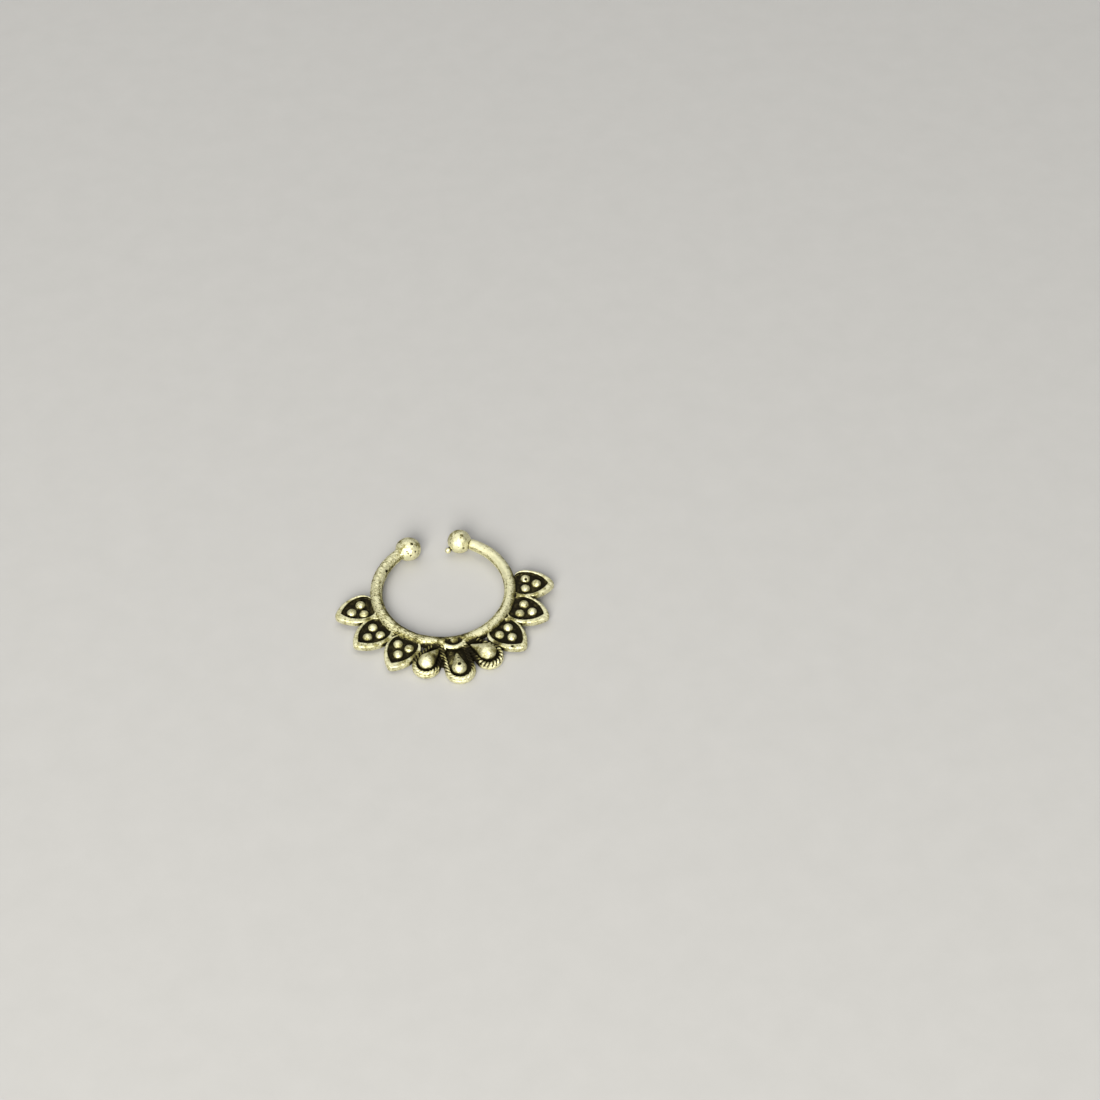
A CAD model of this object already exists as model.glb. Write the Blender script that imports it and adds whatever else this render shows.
"""The looks of an open, clip-on nose ring: one cast piece of blackened white metal with a fan of petals.

The ring is shaped as a signed distance on a grid, member by member, and skinned as one closed mesh.
Shapes are in millimetres in the level ring's own frame: the middle of the hoop is the origin, the wire's
middle is at z = 0, the opening is towards +Y and the petals are towards -Y. The last step lays the ring
down as the frame holds it.
"""

import math

import bpy
import numpy as np
from mathutils import Euler, Matrix, Vector


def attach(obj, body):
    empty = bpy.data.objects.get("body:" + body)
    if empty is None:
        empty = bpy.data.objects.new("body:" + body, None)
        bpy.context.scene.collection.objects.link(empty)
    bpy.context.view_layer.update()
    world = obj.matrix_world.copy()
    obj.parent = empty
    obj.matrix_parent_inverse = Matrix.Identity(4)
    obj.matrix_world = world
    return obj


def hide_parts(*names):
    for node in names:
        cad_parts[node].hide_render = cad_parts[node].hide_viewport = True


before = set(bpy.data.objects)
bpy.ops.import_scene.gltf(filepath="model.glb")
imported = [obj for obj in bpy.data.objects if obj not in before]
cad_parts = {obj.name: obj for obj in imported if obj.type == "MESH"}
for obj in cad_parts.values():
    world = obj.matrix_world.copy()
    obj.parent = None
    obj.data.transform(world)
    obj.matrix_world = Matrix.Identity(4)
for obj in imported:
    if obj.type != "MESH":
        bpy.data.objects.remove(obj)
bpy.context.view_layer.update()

MM = 0.001

# Hoop and balls, with how much thicker the wire is in the left arm
HOOP_R = 6.2
WIRE_R = 0.56
LEFT_ARM_SWELL = 0.03
BALL_ANGLE = math.radians(23.2)
BALL_R = 1.15
BALL_X = HOOP_R * math.sin(BALL_ANGLE)
BALL_Y = HOOP_R * math.cos(BALL_ANGLE)
# The left ball is a little oval: two balls that are a little smaller stand out on both of its sides
LEFT_BALL_OFF = 0.11
LEFT_BALL_LESS = 0.02
# The casting nub on the right ball
NUB_R = 0.33
NUB_AT = (1.26, 5.14, -0.4)
# Where the right ball was joined to the wire, along the wire from the back of the hoop
SEAM_ALONG = 3.6
SEAM_DEPTH = 0.07
SEAM_REACH = 0.07
# Where the mould's parting line runs round the wire, and the groove beside it. Both are turns of the
# section, in radians from the outer side over the top.
PARTING_TURN = 2.5
PARTING_HEIGHT = 0.04
PARTING_REACH = 0.12
GROOVE_TURN = 2.2
GROOVE_REACH = 0.14
# The file marks: the direction in plan in which they run, their spacing, length, height and depth
FILE_ANGLE = math.radians(-42)
FILE_SPACING = 0.1
FILE_LENGTH = 0.4
FILE_HEIGHT = 0.3
FILE_DEPTH = 0.03
# The dark streaks that go with them: their length, spacing and height
STREAK_SIZE = (0.32, 0.085, 0.14)

# Leaf petals on each side, from the highest down. The angles of the tip and the base are in degrees from
# the front of the hoop. out and up are how far the petal is off its drawn place, outward and away from the
# drops, and grow is how much larger it is all round. field is how far its field is off its middle, away
# from the drops, and rim is the width of its rim. beads is how far its granules are off their places.
LEAF_COLUMNS = ("side", "tip_angle", "base_angle", "out", "up", "grow", "field", "rim", "beads")
LEAF_ROWS = [
    (1, 82.4, 84.0, 0.0, 0.06, 0.06, 0.05, 0.3, (-0.05, 0.08)),
    (1, 60.8, 61.0, 0.04, 0.06, 0.05, 0.06, 0.3, (-0.08, 0.08)),
    (1, 38.0, 38.0, -0.04, -0.02, 0.09, 0.1, 0.32, (-0.15, 0.1)),
    (-1, 82.4, 84.0, 0.03, -0.02, 0.05, 0.11, 0.36, (0.02, -0.03)),
    (-1, 60.8, 61.0, 0.0, 0.02, 0.05, 0.08, 0.34, (-0.02, 0.05)),
    (-1, 38.0, 38.0, -0.08, -0.12, 0.06, 0.08, 0.34, (-0.18, 0.1)),
]
LEAVES = [dict(zip(LEAF_COLUMNS, row)) for row in LEAF_ROWS]
# The drawn petal: how far its tip and its widest place are from the middle of the hoop, its width, the
# radii of its sides and of its base, and how much its tip is rounded
LEAF_TIP_R = 10.3
LEAF_WIDE_R = 7.55
LEAF_W = 3.16
LEAF_SIDE_R = ((LEAF_TIP_R - LEAF_WIDE_R) ** 2 + (LEAF_W / 2) ** 2) / LEAF_W
LEAF_CURL_R = 1.05
LEAF_TIP_BLEND = 0.3
LEAF_BACK_Z = -0.36
LEAF_SINK = 0.34
# A field's base is drawn out towards the hoop, and its tip is drawn in and is sharper
LEAF_FIELD_STRETCH = 0.75
LEAF_FIELD_SHORT = 1.13
LEAF_FIELD_BLEND = 0.02
GRANULE_R = 0.5
GRANULE_Z = -0.1
# Granules as (outward, sideways) from a petal's widest place
GRANULES = [(0.12, 0.58), (0.12, -0.58), (1.15, 0.0)]
# The metal in the notches between neighbouring leaf petals: (x, y)
LEAF_WEBS = [(6.6, -1.95), (5.3, -4.5), (-6.55, -1.95), (-5.25, -4.25)]
LEAF_WEB_R = 0.4
LEAF_WEB_Z = -0.15

# Rims, and the height of the petals' sunk fields
RIM_Z = 0.3
RIM_ROUND = 0.15
LEAF_LEVEL = RIM_Z - LEAF_SINK

# Drops: the heights of the back, of the plate under the rim and of the sunk field
DROP_BACK_Z = -0.46
DROP_PLATE_Z = 0.0
DROP_SINK = 0.44
DROP_LEVEL = RIM_Z - DROP_SINK
# In plan: the two ends of each drop and the radius at each, and the round end and the tail of its boss
LEFT_DROP = dict(root=(-1.3, -6.35), end=(-2.83, -8.25), root_r=0.75, end_r=1.31)
RIGHT_DROP = dict(root=(1.3, -6.35), end=(2.89, -8.33), root_r=0.75, end_r=1.31)
MIDDLE_DROP = dict(root=(-0.25, -6.3), end=(0.1, -9.35), root_r=1.27, end_r=1.39)
LEFT_BOSS = dict(middle=(-2.74, -8.04), tail=(-1.45, -6.82), r=0.83)
RIGHT_BOSS = dict(middle=(2.78, -8.0), tail=(1.5, -6.9), r=0.87)
MIDDLE_BOSS = dict(middle=(0.02, -9.28), tail=(0.05, -7.65), r=0.72)
# Each drop with its boss, the pitch and the twist of its rope rim, and the stretches of the rim that are
# rubbed smooth, along the rim from its far point
DROPS = [
    (LEFT_DROP, LEFT_BOSS, (0.36, 1.0), [(-1.3, 1.4)]),
    (MIDDLE_DROP, MIDDLE_BOSS, (0.42, 1.3), [(-1.4, 1.7)]),
    (RIGHT_DROP, RIGHT_BOSS, (0.36, 0.5), []),
]
# How far the drawn middle drop reaches from the middle of the hoop
MIDDLE_REACH = 10.75
# The bosses' height, and the radius at the end of their tails
BOSS_Z = 0.08
TAIL_R = 0.14
# The rope rims, with how far a strand stands out past the rope's radius and how deep a slot is under that
ROPE_R = 0.2
ROPE_INSET = 0.24
ROPE_Z = 0.12
STRAND_HEIGHT = 0.04
STRAND_SLOT = 0.2
# How much of its strands a rim has lost where it is rubbed, and over what length it changes
RUBBED_LOSS = 0.7
RUBBED_EDGE = 0.15
# The metal in the notches between neighbouring drops: (x, y)
DROP_WEBS = [(-1.36, -8.1), (-1.4, -8.4), (1.42, -8.2)]
DROP_WEB_R = 0.24
DROP_WEB_Z = -0.28

# Scallop and solder
SCALLOP_Y = -5.85
SCALLOP_R = 1.1
SCALLOP_BAR_R = 0.24
SCALLOP_Z = 0.24
SCALLOP_HOLLOW_AT = (0.0, -6.42, 0.5)
SCALLOP_HOLLOW_R = (0.9, 0.34, 0.3)
SCALLOP_BEAD_AT = (0.05, -6.2, 0.22)
SCALLOP_BEAD_R = 0.42
# The lump of solder and the beads beside it: (x, y, z, radius)
SOLDER = [
    (-2.6, -5.78, 0.2, 0.39),
    (-2.2, -5.9, 0.24, 0.36),
    (-1.84, -6.0, 0.24, 0.33),
    (-1.52, -6.07, 0.26, 0.28),
]

# Stains and rubbed places: (x, y, reach, how much darker)
STAINS = [
    # Round the scallop and on the front of the hoop
    (-0.6, -6.3, 0.3, 0.3),
    (0.65, -6.3, 0.3, 0.35),
    (0.0, -6.5, 0.2, 0.3),
    (0.05, -6.2, 0.25, 0.25),
    (-1.15, -5.9, 0.25, 0.2),
    (1.15, -5.9, 0.25, 0.2),
    (0.9, -5.8, 0.6, 0.3),
    (0.0, -5.6, 0.6, 0.25),
    (-0.9, -5.7, 0.6, 0.3),
    (-1.5, -5.9, 0.5, 0.2),
    (-2.3, -5.9, 0.5, -0.2),
    (2.2, -5.7, 0.9, -0.25),
    # In the notch between the left and the middle drop
    (-1.85, -6.55, 0.3, 0.3),
    (-1.5, -6.9, 0.35, 0.25),
    (-1.4, -7.1, 0.4, 0.25),
    (-0.95, -7.15, 0.3, 0.4),
    (-0.95, -7.4, 0.3, 0.3),
    (-1.75, -8.0, 0.5, 0.6),
    (-1.1, -8.1, 0.3, 0.15),
    (-1.62, -8.25, 0.3, 0.3),
    (-1.8, -8.5, 0.35, 0.4),
    (-1.45, -8.5, 0.25, 0.4),
    (-1.95, -8.75, 0.3, 0.5),
    # In the notch between the middle and the right drop
    (1.75, -6.5, 0.35, 0.5),
    (0.95, -7.05, 0.3, 0.4),
    (1.1, -7.4, 0.5, 0.5),
    (1.1, -7.9, 0.4, 0.35),
    (1.45, -8.0, 0.5, 0.6),
    (1.15, -8.6, 0.5, 0.5),
    (1.5, -8.6, 0.3, 0.25),
    (1.9, -8.8, 0.35, 0.3),
    (1.2, -9.1, 0.45, 0.35),
    # On the middle drop
    (-0.55, -6.9, 0.4, -0.4),
    (0.7, -6.8, 0.35, -0.4),
    (0.0, -7.5, 0.35, 0.3),
    (-0.6, -8.3, 0.35, -0.25),
    (0.0, -9.2, 0.45, 0.05),
    (0.0, -10.4, 0.8, -0.3),
    # On the left drop and beside it
    (-2.45, -6.45, 0.3, 0.5),
    (-2.6, -6.75, 0.4, 0.25),
    (-3.3, -7.1, 0.45, 0.25),
    (-3.75, -7.5, 0.45, 0.3),
    (-3.7, -7.6, 0.5, 0.2),
    (-3.2, -8.9, 0.6, -0.35),
    # On the right drop and beside it
    (2.65, -6.45, 0.3, 0.5),
    (2.4, -6.65, 0.4, 0.4),
    (1.9, -7.25, 0.4, -0.25),
    (3.75, -7.4, 0.4, 0.3),
    (3.9, -7.4, 0.5, 0.3),
    (3.0, -9.3, 0.6, -0.2),
    # In the notches between the leaf petals
    (6.6, -1.95, 0.35, 0.3),
    (7.1, -2.5, 0.35, 0.35),
    (5.3, -4.5, 0.35, 0.3),
    (5.4, -4.85, 0.4, 0.35),
    (-7.3, -2.3, 0.3, 0.3),
    (-5.9, -4.85, 0.35, 0.35),
    # On the leaf petals
    (-8.05, -0.85, 0.9, -0.04),
    (-7.1, -3.9, 0.9, 0.06),
    (-5.0, -6.4, 0.9, -0.06),
    # On the arms of the hoop
    (-2.4, 5.3, 1.3, -0.15),
    (-6.1, 2.0, 1.8, -0.12),
    (-4.4, -4.3, 1.3, 0.06),
    (3.6, 5.4, 2.2, -0.25),
    (6.0, 2.2, 2.0, -0.15),
    (6.0, -1.5, 1.8, -0.05),
    (4.4, -4.4, 1.2, -0.15),
    # On the balls
    (-3.1, 6.2, 0.5, 0.3),
    (-2.0, 6.35, 0.4, 0.3),
    (-1.6, 5.4, 0.35, 0.3),
    (-3.0, 5.2, 0.35, 0.25),
    (2.3, 6.3, 0.35, 0.35),
    (3.2, 5.9, 0.4, 0.35),
    (1.55, 6.1, 0.4, 0.3),
    (2.9, 5.0, 0.3, 0.25),
]

# Stains and rubbed places on the wire: (turn from the back of the hoop, its reach, turn of the section from
# the outer side over the top, its reach, how much darker), with all turns and reaches in degrees
WIRE_STAINS = [
    (-50, 28, 20, 28, 0.55),
    (-55, 25, 120, 30, -0.2),
    (-85, 15, 140, 30, 0.15),
    (-120, 28, 145, 30, 0.4),
    (-142, 16, 30, 35, 0.4),
    (-150, 15, 140, 30, 0.3),
    (180, 32, 25, 32, 0.45),
    (145, 16, 25, 30, 0.25),
    (125, 40, 135, 22, 0.2),
    (60, 45, 20, 32, 0.35),
    (75, 32, 125, 28, -0.22),
    (95, 35, 25, 32, 0.25),
]

# How much darker the inner side of the wire and the groove beside the parting line are
INNER_DARK = 0.35
GROOVE_DARK = 0.25
# How much darker the pits are in the upper surface and in the balls
TOP_PIT_DARK = 0.85
BALL_PIT_DARK = 0.55
# Pits in the upper surface: (x, y, radius of the ball that presses it, depth)
TOP_PITS = [
    (0.06, -9.28, 0.15, 0.12),
    (0.1, -8.3, 0.09, 0.06),
    (-4.82, 3.07, 0.14, 0.09),
    (7.71, -0.33, 0.11, 0.09),
    (5.1, -7.85, 0.1, 0.07),
]
# Pits in the balls: (side, direction from the middle of the ball, radius, depth)
BALL_PITS = [
    (-1, (0.38, -0.31, 1.04), 0.11, 0.1),
    (-1, (0.61, -0.86, 0.47), 0.08, 0.08),
    (-1, (0.11, -1.12, 0.25), 0.09, 0.08),
    (-1, (-0.21, -0.89, 0.7), 0.06, 0.05),
    (-1, (-0.12, -1.02, 0.52), 0.06, 0.05),
    (-1, (-0.7, 0.3, 0.8), 0.09, 0.06),
    (1, (-0.97, -0.41, 0.46), 0.07, 0.07),
    (1, (0.22, -0.2, 1.11), 0.24, 0.06),
    (1, (0.1, -0.45, 1.06), 0.08, 0.07),
    (1, (0.24, -1.11, 0.21), 0.14, 0.06),
    (1, (-0.23, -1.06, 0.37), 0.06, 0.05),
    (1, (0.3, 0.9, 0.5), 0.1, 0.06),
]

# The unevenness of the casting: how deep the swells and the grain go
SWELL_DEPTH = 0.006
GRAIN_DEPTH = 0.006
# The dents of the balls: (depth, size, shift of their noise), and how much they take off a ball
BALL_DENTS = [(0.016, 0.9, 20), (0.012, 0.33, 30)]
BALL_DENTED = 0.03
# Where along Y the dents begin, and where they are full
DENTS_START = 4.3
DENTS_FULL = 4.8

SEED = 11
# The grid: the distance that stands for no metal near, the step and two corners
FAR = 4.0
STEP = 0.045
LOW = (-10.7, -11.1, -1.35)
HIGH = (10.7, 7.3, 1.35)
MAX_TRIANGLES = 195000
# How far a place looks round itself for metal, to tell a crease from an edge
HOLLOW_REACH = 0.07

# The camera in the level ring's frame: where it stands, and its turns about X, Y and Z in degrees
CAMERA_AT = Vector((-13.465, -129.883, 156.802))
CAMERA_TURNS = (40.740, 0.396, -10.738)


def smooth_min(a, b, blend):
    """The lower of two distances, with a fillet as wide as blend where they meet."""
    if blend <= 0:
        return np.minimum(a, b)
    near = np.maximum(blend - np.abs(a - b), 0) / blend
    return np.minimum(a, b) - near * near * (blend / 4)


def smooth_max(a, b, blend):
    """The higher of two distances, with a fillet as wide as blend where they meet."""
    return -smooth_min(-a, -b, blend)


def smooth_step(low, high, value):
    """0 at low and 1 at high, which may be the smaller of the two, with an even start and end."""
    t = np.clip((value - low) / (high - low), 0, 1)
    return t * t * (3 - 2 * t)


class Noise:
    """Smooth seeded noise from -1 to 1 that repeats every SIDE cells."""

    SIDE = 48

    def __init__(self, seed):
        self.table = np.random.default_rng(seed).uniform(-1, 1, (self.SIDE,) * 3).astype(np.float32)

    def __call__(self, x, y, z, size):
        whole = []
        part = []
        for place in (x, y, z):
            scaled = np.asarray(place, np.float32) / size
            floor = np.floor(scaled)
            t = scaled - floor
            whole.append(floor.astype(np.int32) % self.SIDE)
            part.append(t * t * (3 - 2 * t))
        total = 0
        for i in (0, 1):
            for j in (0, 1):
                for k in (0, 1):
                    weight = 1
                    for step, t in zip((i, j, k), part):
                        weight = weight * (t if step else 1 - t)
                    corner = [(w + step) % self.SIDE for w, step in zip(whole, (i, j, k))]
                    total = total + weight * self.table[corner[0], corner[1], corner[2]]
        return total


class Relief:
    """A signed distance on a grid: negative inside the metal."""

    def __init__(self, low, high, step):
        self.low = low
        self.step = step
        self.count = [int(round((h - l) / step)) + 1 for l, h in zip(low, high)]
        self.value = np.full(self.count, FAR, np.float32)

    def part(self, low, high):
        """The stretch of the grid between two corners, and its coordinates along each axis."""
        cut = []
        axes = []
        for k in range(3):
            first = max(0, math.floor((low[k] - self.low[k]) / self.step))
            last = min(self.count[k], math.ceil((high[k] - self.low[k]) / self.step) + 1)
            shape = [1, 1, 1]
            shape[k] = -1
            cut.append(slice(first, last))
            axis = self.low[k] + self.step * np.arange(first, last)
            axes.append(axis.astype(np.float32).reshape(shape))
        return tuple(cut), axes

    def add(self, low, high, shape, blend=0.0):
        """Joins a shape to the metal, between two corners that it lies within."""
        cut, (x, y, z) = self.part(low, high)
        self.value[cut] = smooth_min(self.value[cut], shape(x, y, z), blend)

    def carve(self, low, high, shape, blend=0.0):
        """Cuts a shape out of the metal, between two corners that it lies within."""
        cut, (x, y, z) = self.part(low, high)
        self.value[cut] = smooth_max(self.value[cut], -shape(x, y, z), blend)

    def top(self, x, y):
        """The height of the upper surface over a place in plan."""
        i = int(round((x - self.low[0]) / self.step))
        j = int(round((y - self.low[1]) / self.step))
        inside = np.nonzero(self.value[i, j] < 0)[0]
        return self.low[2] + self.step * inside[-1]

    def sample(self, grid, points):
        """Values of a grid of this size at points, with straight blending between grid points."""
        scaled = (points - np.array(self.low)) / self.step
        base = np.clip(np.floor(scaled).astype(np.int32), 0, np.array(self.count) - 2)
        t = (scaled - base).astype(np.float32)
        total = np.zeros(len(points), np.float32)
        for i in (0, 1):
            for j in (0, 1):
                for k in (0, 1):
                    weight = np.ones(len(points), np.float32)
                    for axis, step in enumerate((i, j, k)):
                        weight *= t[:, axis] if step else 1 - t[:, axis]
                    total += weight * grid[base[:, 0] + i, base[:, 1] + j, base[:, 2] + k]
        return total

    def filled(self, points):
        """Whether points lie in the metal, to the nearest grid point."""
        cell = np.rint((points - np.array(self.low)) / self.step).astype(np.int32)
        cell = np.clip(cell, 0, np.array(self.count) - 1)
        return self.value[cell[:, 0], cell[:, 1], cell[:, 2]] < 0

    def slope(self, points):
        """The direction in which the distance grows, and its steepness."""
        columns = []
        for axis in range(3):
            shift = np.zeros(3)
            shift[axis] = self.step / 2
            ahead = self.sample(self.value, points + shift)
            behind = self.sample(self.value, points - shift)
            columns.append((ahead - behind) / self.step)
        return np.stack(columns, 1)


def slab(flat, z, bottom, top, edge):
    """A plate of a plan outline between two heights, with its edges rounded."""
    side = flat + edge
    up = np.abs(z - (bottom + top) / 2) - (top - bottom) / 2 + edge
    return np.hypot(np.maximum(side, 0), np.maximum(up, 0)) + np.minimum(np.maximum(side, up), 0) - edge


def ball(x, y, z, middle, r):
    """Distance to a ball."""
    return np.sqrt((x - middle[0]) ** 2 + (y - middle[1]) ** 2 + (z - middle[2]) ** 2) - r


def add_ball(relief, middle, r, blend=0.0):
    reach = r + blend + 0.15
    low = [m - reach for m in middle]
    high = [m + reach for m in middle]
    relief.add(low, high, lambda x, y, z: ball(x, y, z, middle, r), blend)


def file_place(x, y, z):
    """A place in units of the file marks: their spacing across them and their length along them."""
    across = y * math.cos(FILE_ANGLE) - x * math.sin(FILE_ANGLE)
    along = x * math.cos(FILE_ANGLE) + y * math.sin(FILE_ANGLE)
    return across / FILE_SPACING, along / FILE_LENGTH, z / FILE_HEIGHT


def bell(off, reach):
    """1 at no offset, falling away on both sides."""
    return np.exp(-((off / reach) ** 2))


def wire_distance(noise, x, y, z):
    """Distance to the wire, filed all round its left arm and along the outer edge of its right one."""
    from_middle = np.hypot(x, y) - HOOP_R
    along = HOOP_R * np.arctan2(x, y)
    section = np.arctan2(z, from_middle)
    left = smooth_step(0.5, -0.5, x)
    outer = smooth_step(0.2, 0.7, np.cos(section + 0.5)) * smooth_step(0.2, 1.2, x) * 0.7
    marks = np.maximum(left, outer) * smooth_step(-0.1, 0.7, noise(*file_place(x, y, z), size=1.0))
    seam = SEAM_DEPTH * bell(along - SEAM_ALONG, SEAM_REACH)
    parting = PARTING_HEIGHT * bell(section - PARTING_TURN, PARTING_REACH)
    r = WIRE_R + LEFT_ARM_SWELL * left - FILE_DEPTH * marks - seam + parting
    return np.hypot(from_middle, z) - r


def add_hoop(relief, noise):
    reach = HOOP_R + WIRE_R + 0.2
    height = WIRE_R + 0.24
    cut, (x, y, z) = relief.part((-reach, -reach, -height), (reach, reach, height))
    distance = wire_distance(noise, x, y, z)
    open_gap = np.broadcast_to(np.abs(np.arctan2(x, y)) < BALL_ANGLE, distance.shape)
    distance[open_gap] = FAR
    relief.value[cut] = np.minimum(relief.value[cut], distance)


def ball_middle(side):
    """The middle of the left ball, for a side of -1, or of the right ball, for 1."""
    return np.array((side * BALL_X, BALL_Y, 0.0))


def add_balls(relief):
    add_ball(relief, ball_middle(-1), BALL_R, blend=0.12)
    for off in (-LEFT_BALL_OFF, LEFT_BALL_OFF):
        add_ball(relief, ball_middle(-1) + (off, -LEFT_BALL_LESS, 0.0), BALL_R - LEFT_BALL_LESS)
    add_ball(relief, ball_middle(1), BALL_R, blend=0.03)
    add_ball(relief, NUB_AT, NUB_R, blend=0.05)


def leaf_place(side, tip_angle, base_angle, out, up, **_):
    """Turns a place in plan into (outward, sideways) on a leaf petal."""
    base = math.radians(base_angle - 90)
    bend = math.radians(tip_angle - base_angle) * LEAF_WIDE_R / (LEAF_TIP_R - LEAF_WIDE_R)

    def place(x, y):
        x = side * x
        u = x * math.cos(base) + y * math.sin(base) - LEAF_WIDE_R
        v = y * math.cos(base) - x * math.sin(base)
        return (
            u * math.cos(bend) + v * math.sin(bend) + LEAF_WIDE_R - out,
            v * math.cos(bend) - u * math.sin(bend) - up,
        )

    return place


def leaf_outline(u, v, tip_blend=LEAF_TIP_BLEND, stretch=1.0):
    """Distance in plan to a leaf petal's outline. A stretch under 1 draws its base out to the hoop."""
    ahead = u - LEAF_WIDE_R
    drop = LEAF_SIDE_R - LEAF_W / 2
    tip = smooth_max(np.hypot(ahead, drop + v), np.hypot(ahead, drop - v), tip_blend) - LEAF_SIDE_R
    corner = np.abs(v) - (LEAF_W / 2 - LEAF_CURL_R)
    back = -ahead * stretch
    base = np.where(corner > 0, np.hypot(back, corner), back) - LEAF_CURL_R
    return np.where(ahead > 0, tip, base)


def leaf_field(u, v, leaf):
    """Distance in plan to the outline of a leaf petal's sunk field, which is pointed."""
    ahead = u - LEAF_WIDE_R
    u = LEAF_WIDE_R + np.where(ahead > 0, ahead * LEAF_FIELD_SHORT, ahead)
    outline = leaf_outline(u, v - leaf["field"], LEAF_FIELD_BLEND, LEAF_FIELD_STRETCH)
    return outline + leaf["rim"] - leaf["grow"]


def trimmed(metal, x, y, z, back_z):
    """Cuts off what lies inside the circle of the wire, and what lies behind a flat back."""
    metal = np.maximum(metal, back_z - z)
    return np.maximum(metal, HOOP_R - np.hypot(x, y))


def add_leaf(relief, leaf):
    place = leaf_place(**leaf)
    off_out, off_up = leaf["beads"]

    def shape(x, y, z):
        u, v = place(x, y)
        plate = slab(leaf_outline(u, v) - leaf["grow"], z, LEAF_BACK_Z, RIM_Z, RIM_ROUND)
        field = slab(leaf_field(u, v, leaf), z, LEAF_LEVEL, RIM_Z + 1, edge=0.06)
        metal = smooth_max(plate, -field, blend=0.1)
        for out, across in GRANULES:
            middle = (LEAF_WIDE_R + out + off_out, across + off_up, GRANULE_Z)
            metal = smooth_min(metal, ball(u, v, z, middle, GRANULE_R), blend=0.03)
        return trimmed(metal, x, y, z, LEAF_BACK_Z)

    middle_r = (HOOP_R + LEAF_TIP_R) / 2
    angle = math.radians(leaf["base_angle"] - 90)
    x = leaf["side"] * middle_r * math.cos(angle)
    y = middle_r * math.sin(angle)
    reach = 2.7
    relief.add((x - reach, y - reach, -0.75), (x + reach, y + reach, 0.75), shape, blend=0.07)


def drop_outline(x, y, root, end, root_r, end_r):
    """Distance in plan to a drop's outline, and the place along its edge from the far point."""
    axis = np.array(root) - np.array(end)
    length = float(np.hypot(*axis))
    axis = axis / length
    along = (x - end[0]) * axis[0] + (y - end[1]) * axis[1]
    across = (y - end[1]) * axis[0] - (x - end[0]) * axis[1]
    side = np.abs(across)
    lean = (end_r - root_r) / length
    rise = math.sqrt(1 - lean * lean)
    past_end = along * rise - side * lean
    distance = np.where(
        past_end < 0,
        np.hypot(side, along) - end_r,
        np.where(
            past_end > rise * length,
            np.hypot(side, along - length) - root_r,
            side * rise + along * lean - end_r,
        ),
    )
    rope_r = end_r - ROPE_INSET
    round_end = rope_r * np.arctan2(side, -along)
    straight = rope_r * (math.pi / 2 + math.asin(lean)) + past_end
    place = np.where(past_end < 0, round_end, straight)
    return distance, np.where(across < 0, -place, place)


def round_cone(x, y, z, middle, tail, r, tail_r):
    """Distance to a teardrop that lies in the plane z = BOSS_Z."""
    axis = np.array(tail) - np.array(middle)
    square = float(axis @ axis)
    taper = r - tail_r
    rest = square - taper * taper
    dx = x - middle[0]
    dy = y - middle[1]
    dz = z - BOSS_Z
    along = dx * axis[0] + dy * axis[1]
    behind = along - square
    off = (dx * square - axis[0] * along) ** 2 + (dy * square - axis[1] * along) ** 2 + (dz * square) ** 2
    along2 = along * along * square
    behind2 = behind * behind * square
    turn = taper * taper * off
    cone = (np.sqrt(off * rest / square) + along * taper) / square - r
    at_tail = np.sqrt(off + behind2) / square - tail_r
    at_middle = np.sqrt(off + along2) / square - r
    return np.where(
        np.sign(behind) * rest * behind2 > turn,
        at_tail,
        np.where(np.sign(along) * rest * along2 < turn, at_middle, cone),
    )


def add_webs(relief):
    """The metal that fills the notches between neighbouring petals and between the drops."""
    for x, y in LEAF_WEBS:
        add_ball(relief, (x, y, LEAF_WEB_Z), LEAF_WEB_R, blend=0.1)
    for x, y in DROP_WEBS:
        add_ball(relief, (x, y, DROP_WEB_Z), DROP_WEB_R, blend=0.08)


def rope_turn(noise, off, place, z, pitch, twist):
    """The angle that runs along a rope rim. It grows by pi from one strand to the next."""
    section = np.arctan2(z - ROPE_Z, off)
    wander = 0.12 * noise(place, 5.0, 0.0, size=0.8)
    return math.pi * (place + wander) / pitch + twist * section


def rope_kept(place, worn):
    """1 where a rope rim's strands stand in full, and less where they are rubbed."""
    kept = 1.0
    for start, stop in worn:
        begun = smooth_step(start - RUBBED_EDGE, start + RUBBED_EDGE, place)
        ended = smooth_step(stop + RUBBED_EDGE, stop - RUBBED_EDGE, place)
        kept = kept * (1 - RUBBED_LOSS * begun * ended)
    return kept


def add_drop(relief, noise, drop, boss, rope, worn):
    """A drop. rope is the pitch and the twist of its rim, and worn the stretches that are rubbed smooth."""

    def shape(x, y, z):
        outline, place = drop_outline(x, y, **drop)
        off = outline + ROPE_INSET
        plate = slab(outline, z, DROP_BACK_Z, DROP_PLATE_Z, edge=0.14)
        field = slab(off + 0.1, z, DROP_LEVEL, RIM_Z + 1, edge=0.08)
        slots = 1 - np.abs(np.cos(rope_turn(noise, off, place, z, *rope)))
        strands = rope_kept(place, worn) * (STRAND_HEIGHT - STRAND_SLOT * slots)
        rim = np.hypot(off, z - ROPE_Z) - ROPE_R - strands
        metal = smooth_max(plate, -field, blend=0.08)
        metal = smooth_min(metal, rim, blend=0.02)
        metal = smooth_min(metal, round_cone(x, y, z, tail_r=TAIL_R, **boss), blend=0.05)
        return trimmed(metal, x, y, z, DROP_BACK_Z)

    x, y = (np.array(drop["root"]) + np.array(drop["end"])) / 2
    reach = 3.1
    relief.add((x - reach, y - reach, -0.8), (x + reach, y + reach, 1.2), shape, blend=0.06)


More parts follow.
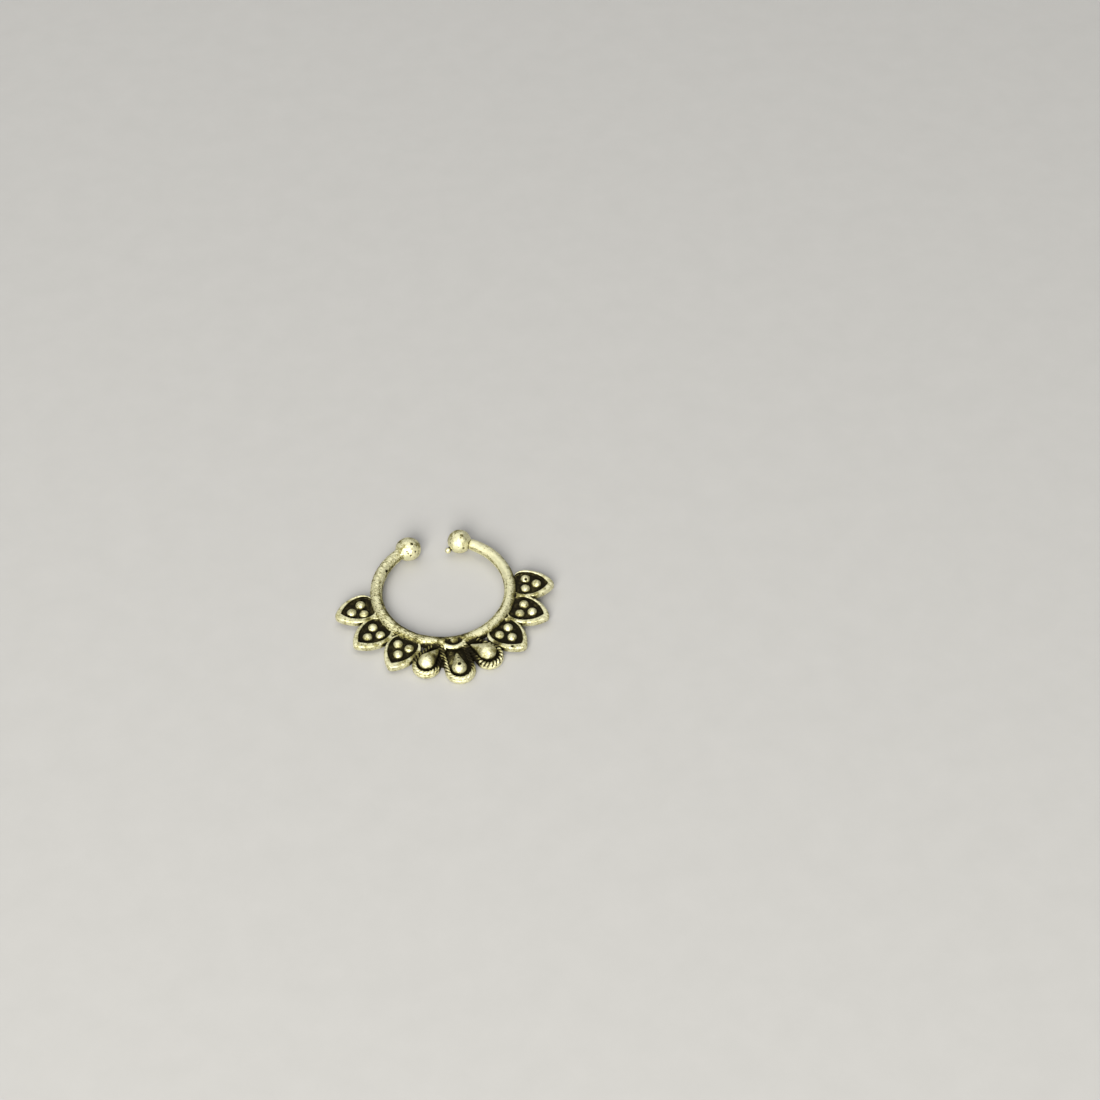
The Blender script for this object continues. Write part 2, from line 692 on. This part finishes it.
def add_scallop(relief):
    """The small half-round collar over the middle of the hoop, with a hollow and a bead behind it."""

    def hollow(x, y, z):
        squares = [((p - m) / r) ** 2 for p, m, r in zip((x, y, z), SCALLOP_HOLLOW_AT, SCALLOP_HOLLOW_R)]
        return (np.sqrt(sum(squares)) - 1) * min(SCALLOP_HOLLOW_R)

    def bar(x, y, z):
        ahead = y - SCALLOP_Y
        bow = np.where(ahead < 0, np.hypot(x, ahead) - SCALLOP_R, np.hypot(np.abs(x) - SCALLOP_R, ahead))
        return np.hypot(bow, z - SCALLOP_Z) - SCALLOP_BAR_R

    relief.carve((-1.2, -6.8, 0.2), (1.2, -5.6, 1.2), hollow, blend=0.05)
    relief.add((-1.6, -7.3, -0.3), (1.6, -5.3, 0.8), bar, blend=0.08)
    add_ball(relief, SCALLOP_BEAD_AT, SCALLOP_BEAD_R, blend=0.05)


def add_solder(relief):
    """The lump of solder and the beads that it left on the hoop beside the left drop."""
    for x, y, z, r in SOLDER:
        add_ball(relief, (x, y, z), r, blend=0.03)


def roughen(relief, noise):
    """Gives the surface the small unevenness of a casting."""
    reach = 0.12
    near = np.nonzero(np.abs(relief.value) < reach)
    x, y, z = (relief.low[k] + relief.step * near[k].astype(np.float32) for k in range(3))
    swell = noise(x, y, z, size=0.7)
    grain = noise(x + 9, y, z, size=0.19)
    relief.value[near] += SWELL_DEPTH * (1 + swell) + GRAIN_DEPTH * (1 + grain)
    on_balls = smooth_step(DENTS_START, DENTS_FULL, y)
    for depth, size, shift in BALL_DENTS:
        relief.value[near] += depth * on_balls * (1 + noise(x + shift, y, z, size))


def press_pits(relief):
    """Presses the pits into the metal, and gives the middle, the radius and the darkness of each."""
    pits = []
    for x, y, r, sunk in TOP_PITS:
        pits.append(((x, y, relief.top(x, y) + r - sunk), r, TOP_PIT_DARK))
    for side, toward, r, sunk in BALL_PITS:
        out = np.array(toward) / np.linalg.norm(toward)
        middle = ball_middle(side) + out * (BALL_R - BALL_DENTED + r - sunk)
        pits.append((middle, r, BALL_PIT_DARK))
    for middle, r, _ in pits:
        reach = r + 0.1
        low = [m - reach for m in middle]
        high = [m + reach for m in middle]
        relief.carve(low, high, lambda x, y, z: ball(x, y, z, middle, r), blend=0.03)
    return pits


def skin(relief):
    """A closed mesh of the surface, with a vertex in each grid cell that it crosses."""
    value = relief.value
    inside = value < 0
    corners = [(i, j, k) for i in (0, 1) for j in (0, 1) for k in (0, 1)]

    def shifted(array, corner):
        return array[tuple(slice(c, n - 1 + c) for c, n in zip(corner, array.shape))]

    filled = sum(shifted(inside, c).astype(np.int8) for c in corners)
    cells = np.nonzero((filled > 0) & (filled < 8))
    number = np.full(filled.shape, -1, np.int32)
    number[cells] = np.arange(len(cells[0]))
    total = np.zeros((len(cells[0]), 3), np.float32)
    crossings = np.zeros(len(cells[0]), np.float32)
    for a in corners:
        for axis in range(3):
            if a[axis]:
                continue
            b = tuple(1 if k == axis else a[k] for k in range(3))
            low = value[cells[0] + a[0], cells[1] + a[1], cells[2] + a[2]]
            high = value[cells[0] + b[0], cells[1] + b[1], cells[2] + b[2]]
            crossed = (low < 0) != (high < 0)
            t = np.where(crossed, low / np.where(crossed, low - high, 1), 0)
            for k in range(3):
                total[:, k] += crossed * (a[k] + (t if k == axis else 0))
            crossings += crossed
    places = np.stack(cells, 1) + total / crossings[:, None]
    points = np.array(relief.low) + relief.step * places

    quads = []
    for axis in range(3):
        first = [slice(None)] * 3
        second = [slice(None)] * 3
        first[axis] = slice(0, -1)
        second[axis] = slice(1, None)
        one = inside[tuple(first)]
        two = inside[tuple(second)]
        u, v = [k for k in range(3) if k != axis]
        for crossed, flip in ((one & ~two, axis == 1), (~one & two, axis != 1)):
            at = np.stack(np.nonzero(crossed), 1)
            ring = []
            for du, dv in ((-1, -1), (0, -1), (0, 0), (-1, 0)):
                cell = at.copy()
                cell[:, u] += du
                cell[:, v] += dv
                ring.append(number[cell[:, 0], cell[:, 1], cell[:, 2]])
            quads.append(np.stack(ring[::-1] if flip else ring, 1))
    return points, np.concatenate(quads)


def settle(relief, points):
    """Moves points onto the surface, in a few short steps."""
    longest = 0.02
    flattest = 0.05
    for _ in range(3):
        slope = relief.slope(points)
        steep = np.maximum((slope ** 2).sum(1), flattest)
        move = relief.sample(relief.value, points) / steep
        points = points - np.clip(move, -longest, longest)[:, None] * slope
    return points


def relax(points, quads):
    """Evens out a mesh: each point goes halfway to the middle of its neighbours."""
    total = np.zeros_like(points)
    count = np.zeros(len(points))
    for a in range(4):
        for b in (quads[:, (a + 1) % 4], quads[:, (a + 3) % 4]):
            for k in range(3):
                total[:, k] += np.bincount(quads[:, a], points[b, k], len(points))
            count += np.bincount(quads[:, a], minlength=len(points))
    return points * 0.5 + 0.5 * total / count[:, None]


def blurred(grid, reach):
    """A grid averaged over three boxes of reach cells each way, which is close to a bell curve."""
    for axis in range(3):
        for _ in range(3):
            edges = [(0, 0)] * 3
            edges[axis] = (reach + 1, reach)
            summed = np.cumsum(np.pad(grid, edges, mode="edge"), axis=axis, dtype=np.float32)
            ahead = np.take(summed, np.arange(2 * reach + 1, summed.shape[axis]), axis=axis)
            behind = np.take(summed, np.arange(0, summed.shape[axis] - 2 * reach - 1), axis=axis)
            grid = (ahead - behind) / (2 * reach + 1)
    return grid


def openness(relief, points, normals):
    """How much of the half space over each point is clear of metal: 1 in the open, 0 in a crack."""
    reach = 1.3
    steps = 10
    rays = 72
    clear = np.zeros(len(points))
    total = np.zeros(len(points))
    for i in range(rays):
        height = 1 - (2 * i + 1) / rays
        turn = i * math.pi * (3 - math.sqrt(5))
        flat = math.sqrt(1 - height * height)
        ray = np.array((flat * math.cos(turn), flat * math.sin(turn), height))
        facing = normals @ ray
        seen = np.nonzero(facing > 0.05)[0]
        start = points[seen] + 0.06 * normals[seen]
        blocked = np.zeros(len(seen), bool)
        for step in range(1, steps + 1):
            blocked |= relief.filled(start + reach * (step / steps) ** 1.5 * ray)
        clear[seen] += facing[seen] * ~blocked
        total[seen] += facing[seen]
    return clear / total


def sunk_fields(points):
    """Where the sunk fields of petals and drops are: 1 on their floors, 0 above them and elsewhere."""
    x, y, z = points.T
    sunk = np.zeros(len(points))
    fields = []
    for leaf in LEAVES:
        u, v = leaf_place(**leaf)(x, y)
        fields.append((leaf_field(u, v, leaf), LEAF_LEVEL, 1.0))
    for drop, *_ in DROPS:
        fields.append((drop_outline(x, y, **drop)[0] + ROPE_INSET, DROP_LEVEL, 0.75))
    for outline, level, amount in fields:
        low = smooth_step(level + 0.24, level, z) * smooth_step(level - 0.15, level - 0.05, z)
        sunk = np.maximum(sunk, amount * low * smooth_step(0.06, -0.06, outline))
    return sunk


def rope_values(noise, points):
    """The angle along the rope rims, and how clearly their strands stand: 0 off the ropes."""
    x, y, z = points.T
    turn = np.zeros(len(points))
    kept = np.zeros(len(points))
    for drop, _, rope, worn in DROPS:
        outline, place = drop_outline(x, y, **drop)
        off = outline + ROPE_INSET
        near = smooth_step(0.32, 0.26, np.hypot(off, z - ROPE_Z)) * smooth_step(-0.15, -0.05, z)
        here = near > 0
        turn[here] = rope_turn(noise, off, place, z, *rope)[here]
        kept[here] = (near * rope_kept(place, worn))[here]
    return turn, kept


def mesh_of(name, points, faces):
    """A mesh of points and of faces that all have the same number of corners."""
    mesh = bpy.data.meshes.new(name)
    mesh.vertices.add(len(points))
    mesh.vertices.foreach_set("co", points.astype(np.float32).ravel())
    corners = faces.shape[1]
    mesh.loops.add(faces.size)
    mesh.loops.foreach_set("vertex_index", faces.astype(np.int32).ravel())
    mesh.polygons.add(len(faces))
    mesh.polygons.foreach_set("loop_start", np.arange(0, faces.size, corners, dtype=np.int32))
    mesh.update(calc_edges=True)
    mesh.validate()
    return mesh


def thinned(mesh, triangles):
    """The mesh with no more than this many triangles, most of them where it bends most."""
    piece = bpy.data.objects.new(mesh.name, mesh)
    bpy.context.scene.collection.objects.link(piece)
    modifier = piece.modifiers.new("thin", "DECIMATE")
    modifier.ratio = min(1.0, triangles / (2 * len(mesh.polygons)))
    modifier.use_collapse_triangulate = True
    bpy.context.view_layer.update()
    result = bpy.data.meshes.new_from_object(piece.evaluated_get(bpy.context.evaluated_depsgraph_get()))
    name = mesh.name
    bpy.data.objects.remove(piece)
    bpy.data.meshes.remove(mesh)
    result.name = name
    return result


def vertices_of(mesh):
    co = np.zeros(len(mesh.vertices) * 3, np.float32)
    mesh.vertices.foreach_get("co", co)
    return co.reshape(-1, 3).astype(np.float64)


def write_values(mesh, name, values):
    mesh.attributes.new(name, "FLOAT", "POINT").data.foreach_set("value", values.astype(np.float32))


def rest_matrix():
    """Lays the level ring down on both balls and on the lower edge of the middle drop, in metres."""
    span = BALL_Y + MIDDLE_REACH
    tilt = math.asin(BALL_R / math.hypot(span, -DROP_BACK_Z)) - math.atan2(-DROP_BACK_Z, span)
    lift = BALL_R - BALL_Y * math.sin(tilt)
    front = -MIDDLE_REACH * math.cos(tilt) - RIM_Z * math.sin(tilt)
    back = BALL_Y * math.cos(tilt) + BALL_R
    place = Matrix.Translation((0, -(front + back) / 2, lift))
    return Matrix.Scale(MM, 4) @ place @ Matrix.Rotation(tilt, 4, "X")


def wire_values(points):
    """How far points belong to the wire, and how much darker its stains make them."""
    x, y, z = points.T
    from_middle = np.hypot(x, y) - HOOP_R
    on_wire = smooth_step(0.08, 0.03, np.hypot(from_middle, z) - WIRE_R)
    for side in (-1, 1):
        from_ball = np.linalg.norm(points - ball_middle(side), axis=1) - BALL_R
        on_wire = on_wire * smooth_step(0.02, 0.12, from_ball)
    section = np.arctan2(z, from_middle)
    around = np.degrees(np.arctan2(x, y))
    inner = smooth_step(PARTING_TURN + 0.1, PARTING_TURN + 0.25, section)
    groove = bell(section - GROOVE_TURN, GROOVE_REACH) * smooth_step(60, 85, np.abs(around))
    stain = INNER_DARK * inner + GROOVE_DARK * groove
    for turn, turn_reach, over, over_reach, amount in WIRE_STAINS:
        off_turn = (around - turn + 180) % 360 - 180
        off_over = (np.degrees(section) - over + 180) % 360 - 180
        stain = stain + amount * bell(off_turn, turn_reach) * bell(off_over, over_reach)
    return on_wire, stain * on_wire


def other_stains(points, pits):
    """How much darker the stains off the wire and the pits make points."""
    x, y, _ = points.T
    stain = np.zeros(len(points))
    for middle_x, middle_y, reach, amount in STAINS:
        stain = stain + amount * bell(np.hypot(x - middle_x, y - middle_y), reach)
    for middle, r, amount in pits:
        off = np.linalg.norm(points - np.array(middle), axis=1)
        stain = stain + amount * smooth_step(1.3 * r, r, off)
    return stain


def shape_ring(noise):
    """The whole ring as a relief, and its pits."""
    relief = Relief(LOW, HIGH, STEP)
    add_hoop(relief, noise)
    add_balls(relief)
    for leaf in LEAVES:
        add_leaf(relief, leaf)
    add_webs(relief)
    for drop, boss, rope, worn in DROPS:
        add_drop(relief, noise, drop, boss, rope, worn)
    add_scallop(relief)
    add_solder(relief)
    roughen(relief, noise)
    return relief, press_pits(relief)


def build_ring():
    """The whole ring as one closed mesh, with the values at each vertex that its finish is made from."""
    noise = Noise(SEED)
    relief, pits = shape_ring(noise)
    points, quads = skin(relief)
    points = settle(relief, relax(points, quads))
    mesh = thinned(mesh_of("nose_ring_cast", points, quads), MAX_TRIANGLES)

    points = vertices_of(mesh)
    normals = relief.slope(points)
    normals /= np.maximum(np.linalg.norm(normals, axis=1), 1e-6)[:, None]
    metal = np.clip(0.5 - relief.value / STEP, 0, 1)
    around = blurred(metal, max(1, round(HOLLOW_REACH / STEP)))
    rope, kept = rope_values(noise, points)
    on_wire, wire_stain = wire_values(points)
    write_values(mesh, "hollow", relief.sample(around, points))
    write_values(mesh, "open", openness(relief, points, normals))
    write_values(mesh, "sunk", sunk_fields(points) * smooth_step(-0.3, 0.2, normals[:, 2]))
    write_values(mesh, "rope_turn", rope)
    write_values(mesh, "rope_kept", kept)
    write_values(mesh, "back", smooth_step(-0.4, -0.8, normals[:, 2]))
    write_values(mesh, "wire", on_wire)
    write_values(mesh, "stain", wire_stain + other_stains(points, pits))
    mesh.transform(rest_matrix())
    mesh.shade_smooth()
    ring = bpy.data.objects.new(mesh.name, mesh)
    bpy.context.scene.collection.objects.link(ring)
    return ring


class Graph:
    """Shorthand for wiring shader nodes."""

    def __init__(self, name):
        self.material = bpy.data.materials.new(name)
        self.material.use_nodes = True
        self.tree = self.material.node_tree
        self.shader = self.tree.nodes["Principled BSDF"]

    def node(self, kind, inputs=(), **settings):
        made = self.tree.nodes.new(kind)
        for key, value in settings.items():
            setattr(made, key, value)
        for key, value in dict(inputs).items():
            self.put(value, made.inputs[key])
        return made

    def put(self, value, socket):
        if isinstance(value, bpy.types.NodeSocket):
            self.tree.links.new(value, socket)
        else:
            socket.default_value = value

    def attribute(self, name):
        return self.node("ShaderNodeAttribute", attribute_name=name).outputs["Fac"]

    def math(self, operation, a, b=0.0, clamp=False):
        return self.node("ShaderNodeMath", {0: a, 1: b}, operation=operation, use_clamp=clamp).outputs[0]

    def greatest(self, first, *others):
        for other in others:
            first = self.math("MAXIMUM", first, other)
        return first

    def spread(self, value, middle, amount):
        """How far a value is off its middle, times an amount."""
        return self.math("MULTIPLY", self.math("SUBTRACT", value, middle), amount)

    def ramp_value(self, value, low, high, to_low=0.0, to_high=1.0):
        inputs = {"Value": value, "From Min": low, "From Max": high, "To Min": to_low, "To Max": to_high}
        return self.node("ShaderNodeMapRange", inputs, interpolation_type="SMOOTHSTEP").outputs["Result"]

    def noise(self, vector, scale, detail, roughness=0.6):
        inputs = {"Vector": vector, "Scale": scale, "Detail": detail, "Roughness": roughness}
        return self.node("ShaderNodeTexNoise", inputs).outputs["Fac"]

    def colours(self, value, stops):
        made = self.node("ShaderNodeValToRGB", {"Fac": value})
        ramp = made.color_ramp
        while len(ramp.elements) < len(stops):
            ramp.elements.new(0.5)
        for element, (place, colour) in zip(ramp.elements, stops):
            element.position = place
            element.color = (*colour, 1)
        return made.outputs["Color"]


def streaks(g, place):
    """How much darker the file marks across the wire are: more on the left arm, less on the right one."""
    x = g.node("ShaderNodeSeparateXYZ", {"Vector": place}).outputs["X"]
    inputs = {"Vector": place, "Angle": -FILE_ANGLE}
    turned = g.node("ShaderNodeVectorRotate", inputs, rotation_type="Z_AXIS")
    scale = [1 / (size * MM) for size in STREAK_SIZE]
    scaled = g.node("ShaderNodeVectorMath", {0: turned.outputs[0], 1: scale}, operation="MULTIPLY")
    marks = g.ramp_value(g.noise(scaled.outputs["Vector"], 1.0, 2), 0.5, 0.64)
    amount = g.ramp_value(x, 1.5 * MM, -1.0 * MM, 0.28, 0.5)
    return g.math("MULTIPLY", g.spread(marks, 0.22, amount), g.attribute("wire"))


def tarnish(g, place):
    """How dark the metal is: 0 where it is rubbed bright, 1 where it is black."""
    sheltered = g.ramp_value(g.attribute("open"), 0.84, 0.25)
    sunk = g.math("MULTIPLY", g.attribute("sunk"), 0.8)
    creases = g.ramp_value(g.attribute("hollow"), 0.52, 0.66, 0.0, 0.75)
    back = g.math("MULTIPLY", g.attribute("back"), 0.3)
    strand = g.math("ABSOLUTE", g.math("COSINE", g.attribute("rope_turn")))
    slots = g.math("MULTIPLY", g.ramp_value(strand, 0.75, 0.25, 0.0, 0.85), g.attribute("rope_kept"))
    dark = g.greatest(sheltered, sunk, creases, back, slots)
    mottle = g.spread(g.noise(place, scale=2600, detail=3), middle=0.45, amount=1.15)
    patches = g.spread(g.noise(place, scale=1000, detail=2), middle=0.5, amount=0.7)
    specks = g.ramp_value(g.noise(place, scale=6000, detail=3), 0.54, 0.7, 0.0, 0.3)
    for value in (mottle, patches, specks, g.attribute("stain")):
        dark = g.math("ADD", dark, value)
    return g.math("ADD", dark, streaks(g, place), clamp=True)


def antique_silver():
    """Pale, slightly yellow metal, rubbed bright where it stands out and nearly black in its recesses."""
    g = Graph("antique_silver_finish")
    place = g.node("ShaderNodeTexCoord").outputs["Object"]
    dark = tarnish(g, place)
    silver = (0.86, 0.83, 0.54)
    khaki = (0.34, 0.31, 0.115)
    brown = (0.06, 0.05, 0.019)
    black = (0.011, 0.0088, 0.0035)
    colour = g.colours(dark, [(0.02, silver), (0.3, khaki), (0.6, brown), (0.85, black)])
    grain = g.noise(place, scale=3800, detail=4, roughness=0.65)
    bump = g.node("ShaderNodeBump", {"Height": grain, "Strength": 0.9, "Distance": 0.00011})
    g.put(colour, g.shader.inputs["Base Color"])
    g.put(g.ramp_value(dark, 0.0, 0.9, 0.44, 0.75), g.shader.inputs["Roughness"])
    g.put(g.ramp_value(dark, 0.0, 0.9, 0.84, 0.3), g.shader.inputs["Metallic"])
    g.put(0.1, g.shader.inputs["Specular IOR Level"])
    g.put(bump.outputs["Normal"], g.shader.inputs["Normal"])
    return g.material


def floor_finish():
    g = Graph("floor_finish")
    place = g.node("ShaderNodeTexCoord").outputs["Object"]
    soft = g.noise(place, scale=300, detail=4)
    colour = g.colours(soft, [(0.3, (0.45, 0.445, 0.435)), (0.7, (0.465, 0.46, 0.45))])
    g.put(colour, g.shader.inputs["Base Color"])
    g.put(0.9, g.shader.inputs["Roughness"])
    return g.material


def build_floor():
    half = 1.5
    corners = np.array([(-half, -half, 0), (half, -half, 0), (half, half, 0), (-half, half, 0)])
    mesh = mesh_of("floor", corners, np.array([[0, 1, 2, 3]]))
    floor = bpy.data.objects.new("floor", mesh)
    bpy.context.scene.collection.objects.link(floor)
    mesh.materials.append(floor_finish())


def build_camera():
    """The camera is laid down with the ring, so it sees the ring as the photograph does."""
    lay = rest_matrix()
    level = Euler([math.radians(turn) for turn in CAMERA_TURNS]).to_matrix()
    axes = lay.to_3x3().normalized() @ level
    camera = bpy.data.objects.new("camera", bpy.data.cameras.new("camera"))
    camera.data.lens = 72
    camera.data.sensor_width = 36
    camera.data.clip_start = 0.01
    camera.matrix_world = Matrix.Translation(lay @ CAMERA_AT) @ axes.to_4x4()
    bpy.context.scene.collection.objects.link(camera)
    bpy.context.scene.camera = camera


def add_lamp(name, toward, distance, size, power, colour):
    """A soft square lamp in the direction given, which shines on the ring."""
    lamp = bpy.data.objects.new(name, bpy.data.lights.new(name, "AREA"))
    lamp.data.shape = "SQUARE"
    lamp.data.size = size
    lamp.data.energy = power
    lamp.data.color = colour
    direction = Vector(toward).normalized()
    lamp.location = direction * distance
    lamp.rotation_euler = direction.to_track_quat("Z", "Y").to_euler()
    lamp.visible_camera = False
    bpy.context.scene.collection.objects.link(lamp)


def build_light():
    """A soft warm lamp from the front, a large one from above, and a faint glow from near the floor."""
    add_lamp("key", (-0.3, -0.85, 0.6), distance=0.7, size=0.4, power=8.0, colour=(1.0, 0.98, 0.92))
    add_lamp("top", (-0.1, 0.3, 0.95), distance=0.8, size=1.1, power=5.0, colour=(1.0, 1.0, 1.0))
    world = bpy.data.worlds.new("world")
    world.use_nodes = True
    tree = world.node_tree
    up = tree.nodes.new("ShaderNodeSeparateXYZ")
    tree.links.new(tree.nodes.new("ShaderNodeTexCoord").outputs["Generated"], up.inputs[0])
    ramp = tree.nodes.new("ShaderNodeValToRGB")
    tree.links.new(up.outputs["Z"], ramp.inputs["Fac"])
    stops = [(0.1, (0.3, 0.3, 0.29, 1)), (0.5, (0.04, 0.04, 0.04, 1))]
    for element, (height, colour) in zip(ramp.color_ramp.elements, stops):
        element.position = height
        element.color = colour
    tree.links.new(ramp.outputs["Color"], tree.nodes["Background"].inputs["Color"])
    bpy.context.scene.world = world
    bpy.context.scene.view_settings.view_transform = "Standard"


build_camera()
build_light()
build_floor()
ring = build_ring()
ring.data.materials.append(antique_silver())
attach(ring, "root")
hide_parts("nose_ring")
